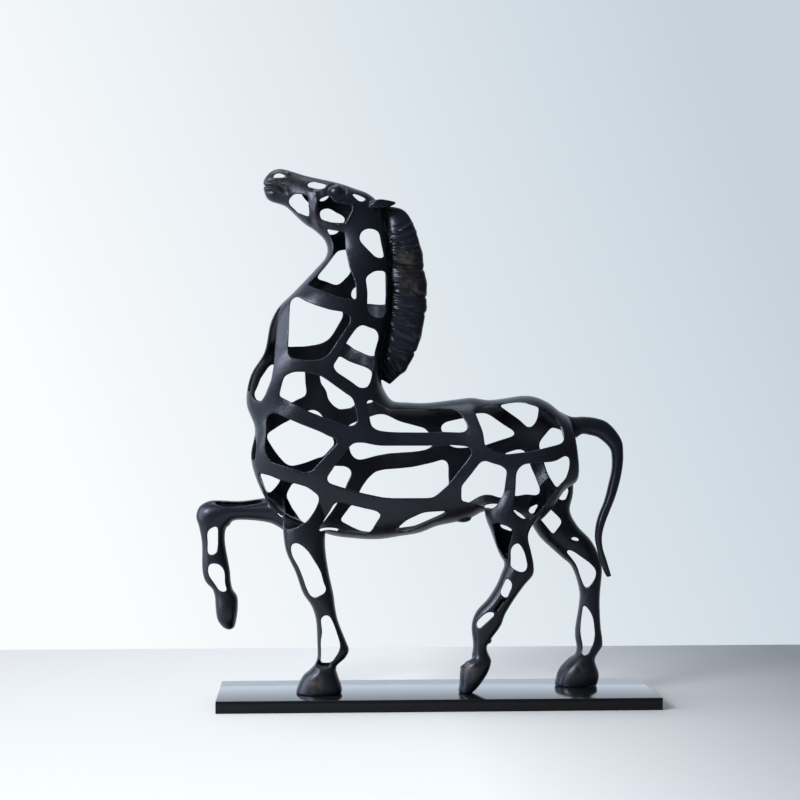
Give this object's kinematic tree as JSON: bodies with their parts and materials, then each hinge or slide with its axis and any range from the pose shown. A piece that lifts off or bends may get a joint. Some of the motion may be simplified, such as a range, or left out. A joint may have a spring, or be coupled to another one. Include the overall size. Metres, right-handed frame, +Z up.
{
  "type": "horse statue",
  "caption": "Stylised openwork horse in black cast metal, pacing with one foreleg lifted and its neck arched, on a flat rectangular base plate.",
  "frame": {"origin": "centre of the base plate's underside", "axes": "+Z up, +X towards the tail, so the head looks towards -X; +Y away from the side on show, towards the lifted foreleg's side"},
  "size_m": [0.3798, 0.11, 0.4426],
  "materials": {
    "casting": "cast metal with a satin black patina, bluish grey where it catches the light, rubbed faintly bronze on raised edges",
    "plate": "black lacquer, smooth and half glossy"
  },
  "bodies": {
    "root": {"horse": "casting", "base_plate": "plate"}
  },
  "joints": []
}
